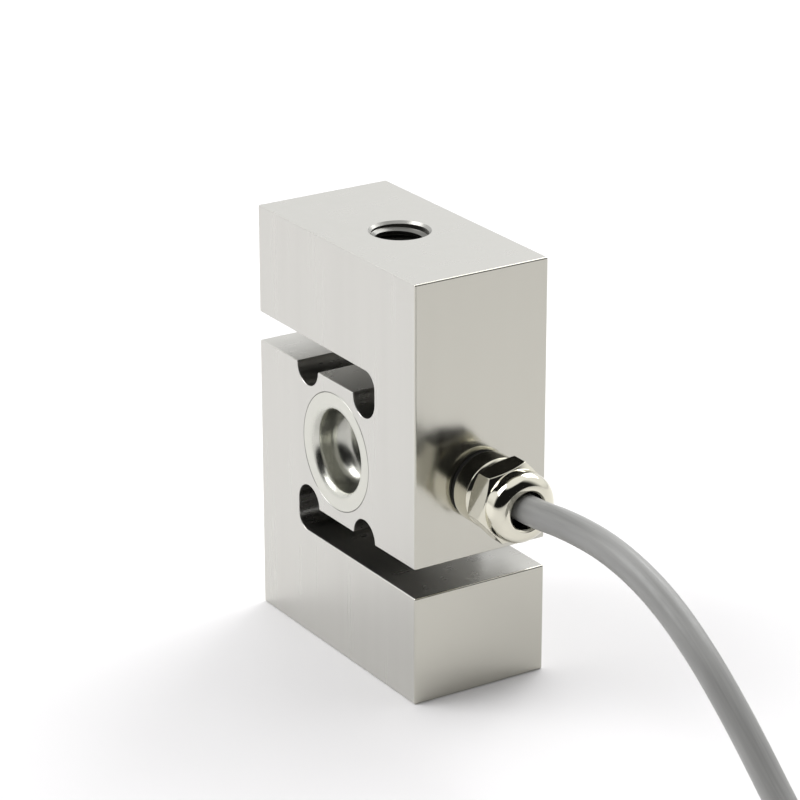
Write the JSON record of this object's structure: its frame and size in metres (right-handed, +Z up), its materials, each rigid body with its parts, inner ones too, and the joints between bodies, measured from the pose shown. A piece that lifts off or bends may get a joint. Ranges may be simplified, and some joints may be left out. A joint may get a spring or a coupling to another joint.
{
  "type": "s type load cell",
  "caption": "S-shaped steel load cell with slots, a sealed round gauge cavity on each side, tapped holes on the load line, a side cable gland and a lead folded into a tied hank.",
  "frame": {"origin": "centre of the bottom face of the block, on the load line", "axes": "+Z up along the load line, +X out of the side that carries the cable gland, -Y the front where the slots read as an S"},
  "size_m": [0.285, 0.0471, 0.0762],
  "materials": {
    "steel_block": "fine ground stainless steel, satin",
    "polished_cup": "drawn and polished stainless steel",
    "gauge_foil": "amber polyimide foil with a metal grid",
    "adhesive": "white adhesive bed",
    "board_green": "green circuit board",
    "chip_ceramic": "small ceramic resistors",
    "copper_enamel": "enamelled copper wire",
    "black_rubber": "black rubber seals",
    "nickel_brass": "nickel-plated brass, bright",
    "black_nylon": "black polyamide",
    "grey_jacket": "mid-grey cable jacket, satin",
    "shrink_sleeve": "black shrink sleeve",
    "wire_red": "red wire insulation",
    "wire_black": "black wire insulation",
    "wire_green": "green wire insulation",
    "wire_white": "white wire insulation",
    "tinned_copper": "tinned copper strands"
  },
  "bodies": {
    "root": {"spring_element": "steel_block", "front_sealing_cup": "polished_cup", "rear_sealing_cup": "polished_cup", "front_strain_gauge": "gauge_foil", "rear_strain_gauge": "gauge_foil", "front_terminal_strip": "gauge_foil", "board_bed": "adhesive", "circuit_board": "board_green", "trim_resistors": "chip_ceramic", "bridge_wires": "copper_enamel", "passage_plug": "black_rubber", "gland_washer": "black_rubber", "gland_body": "nickel_brass", "gland_seal": "black_rubber", "gland_claw": "black_nylon", "gland_cap_nut": "nickel_brass", "cable_run": "grey_jacket", "cable_hank": "grey_jacket", "hank_tie": "black_nylon", "cable_tail": "grey_jacket", "end_sleeve": "shrink_sleeve", "core_red": "wire_red", "core_black": "wire_black", "core_green": "wire_green", "core_white": "wire_white", "lead_red": "wire_red", "lead_black": "wire_black", "lead_green": "wire_green", "lead_white": "wire_white", "shield_drain": "tinned_copper", "lead_tips": "tinned_copper"}
  },
  "joints": []
}
